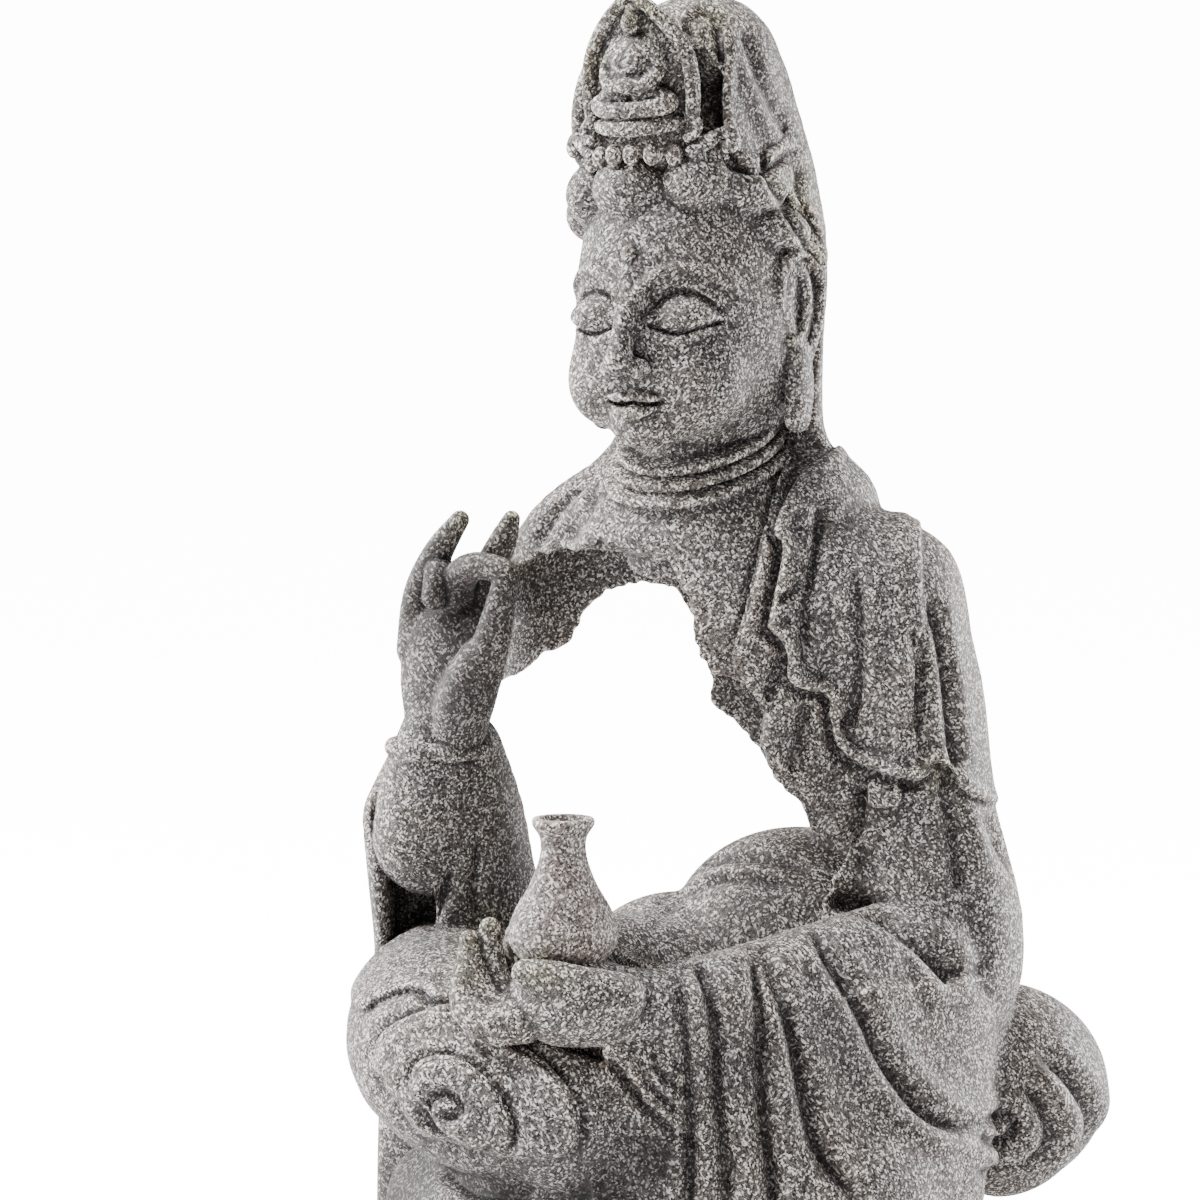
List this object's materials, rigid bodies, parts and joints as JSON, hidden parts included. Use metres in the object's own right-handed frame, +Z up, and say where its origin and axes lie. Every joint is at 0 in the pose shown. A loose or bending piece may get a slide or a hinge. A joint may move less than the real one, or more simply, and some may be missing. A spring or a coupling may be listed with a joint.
{
  "type": "guanyin statue",
  "caption": "Seated Guanyin statue in grey speckled resin stone with an open, broken torso, a raised hand and a small vase in the other palm.",
  "frame": {"origin": "centre of the flat underside, below the neck", "axes": "+Z up, the figure faces -Y, her left hand is at +X"},
  "size_m": [0.2123, 0.1932, 0.3801],
  "materials": {
    "stone": "grey sand-filled resin, speckled, unglazed",
    "pale_stone": "paler sand-filled resin, speckled, unglazed"
  },
  "bodies": {
    "root": {"figure": "stone", "vase": "pale_stone"}
  },
  "joints": []
}
